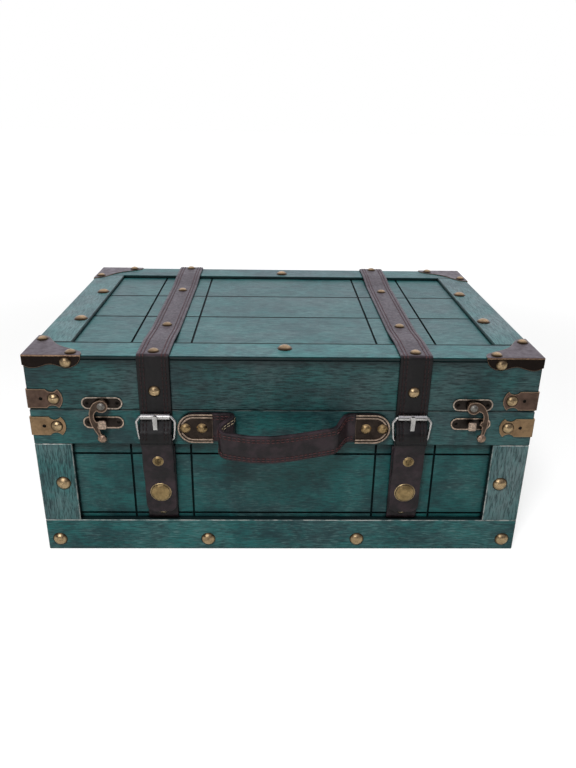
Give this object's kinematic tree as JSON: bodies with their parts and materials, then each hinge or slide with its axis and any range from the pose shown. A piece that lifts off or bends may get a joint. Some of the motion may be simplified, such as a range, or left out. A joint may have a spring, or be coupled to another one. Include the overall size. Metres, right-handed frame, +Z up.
{
  "type": "storage trunk",
  "caption": "Suitcase-style wooden storage trunk with a hinged framed lid, leather straps with buckles and press studs, hook latches, metal corners and a leather handle.",
  "frame": {"origin": "middle of the underside, on the surface that the trunk stands on", "axes": "+X along the length to the right as seen from the front, the front with the handle faces -Y, +Z up"},
  "size_m": [0.4124, 0.3191, 0.1849],
  "materials": {
    "wood_teal": "stained and worn, satin",
    "leather_dark": "dark brown, smooth, stitched",
    "antique_brass": "antiqued",
    "nickel": "worn nickel plate"
  },
  "bodies": {
    "base": {"base_front_panel": "wood_teal", "base_back_panel": "wood_teal", "base_left_panel": "wood_teal", "base_right_panel": "wood_teal", "base_bottom_board": "wood_teal", "base_front_top_rail": "wood_teal", "base_front_bottom_rail": "wood_teal", "base_front_left_stile": "wood_teal", "base_front_right_stile": "wood_teal", "base_back_top_rail": "wood_teal", "base_back_lower_frame": "wood_teal", "base_left_frame": "wood_teal", "base_right_frame": "wood_teal", "base_edge_brackets": "antique_brass", "base_tacks": "antique_brass", "base_nails": "antique_brass", "base_strap_left": "leather_dark", "base_strap_right": "leather_dark", "snap_studs": "antique_brass", "catch_plates": "antique_brass", "handle_ends": "leather_dark", "handle_plates": "antique_brass", "handle_rivets": "antique_brass", "hinge_base_leaves": "antique_brass", "hinge_pins": "antique_brass"},
    "lid": {"lid_front_board": "wood_teal", "lid_back_board": "wood_teal", "lid_left_board": "wood_teal", "lid_right_board": "wood_teal", "lid_plank_front": "wood_teal", "lid_plank_middle": "wood_teal", "lid_plank_back": "wood_teal", "lid_top_front_rail": "wood_teal", "lid_top_back_rail": "wood_teal", "lid_top_left_stile": "wood_teal", "lid_top_right_stile": "wood_teal", "lid_corner_caps": "antique_brass", "lid_edge_brackets": "antique_brass", "lid_tacks": "antique_brass", "lid_nails": "antique_brass", "lid_strap_left": "leather_dark", "lid_strap_right": "leather_dark", "hinge_lid_leaves": "antique_brass", "latch_plates": "antique_brass", "latch_pivots": "antique_brass"},
    "latch_hook_left": {"latch_hook_left": "antique_brass"},
    "latch_hook_right": {"latch_hook_right": "antique_brass"},
    "strap_tail_left": {"strap_tongue_left": "leather_dark", "strap_tab_left": "leather_dark", "tab_studs_left": "antique_brass", "buckle_frame_left": "nickel", "buckle_roller_left": "nickel"},
    "strap_tail_right": {"strap_tongue_right": "leather_dark", "strap_tab_right": "leather_dark", "tab_studs_right": "antique_brass", "buckle_frame_right": "nickel", "buckle_roller_right": "nickel"},
    "buckle_prong_left": {"buckle_prong_left": "nickel"},
    "buckle_prong_right": {"buckle_prong_right": "nickel"},
    "handle": {"handle_grip": "leather_dark"}
  },
  "joints": [
    {"name": "lid_hinge", "type": "hinge", "parent": "base", "child": "lid", "pos_m": [0, 0.1355, 0.1346], "axis": [-1, 0, 0], "range_deg": [0, 105]},
    {"name": "latch_left_swing", "type": "hinge", "parent": "lid", "child": "latch_hook_left", "pos_m": [-0.1449, -0.1436, 0.1394], "axis": [0, 1, 0], "range_deg": [0, 105]},
    {"name": "latch_right_swing", "type": "hinge", "parent": "lid", "child": "latch_hook_right", "pos_m": [0.1514, -0.1436, 0.1394], "axis": [0, -1, 0], "range_deg": [-16, 89]},
    {"name": "strap_left_lift", "type": "hinge", "parent": "lid", "child": "strap_tail_left", "pos_m": [-0.1026, -0.142, 0.1364], "axis": [-1, 0, 0], "range_deg": [0, 95]},
    {"name": "strap_right_lift", "type": "hinge", "parent": "lid", "child": "strap_tail_right", "pos_m": [0.1026, -0.142, 0.1364], "axis": [-1, 0, 0], "range_deg": [0, 95]},
    {"name": "prong_left_tilt", "type": "hinge", "parent": "strap_tail_left", "child": "buckle_prong_left", "pos_m": [-0.1026, -0.145, 0.111], "axis": [1, 0, 0], "range_deg": [0, 10]},
    {"name": "prong_right_tilt", "type": "hinge", "parent": "strap_tail_right", "child": "buckle_prong_right", "pos_m": [0.1026, -0.145, 0.111], "axis": [1, 0, 0], "range_deg": [0, 10]},
    {"name": "handle_flex", "type": "hinge", "parent": "base", "child": "handle", "pos_m": [0, -0.14, 0.1204], "axis": [-1, 0, 0], "range_deg": [-20, 35], "stiffness_Nm_per_rad": 0.05}
  ]
}
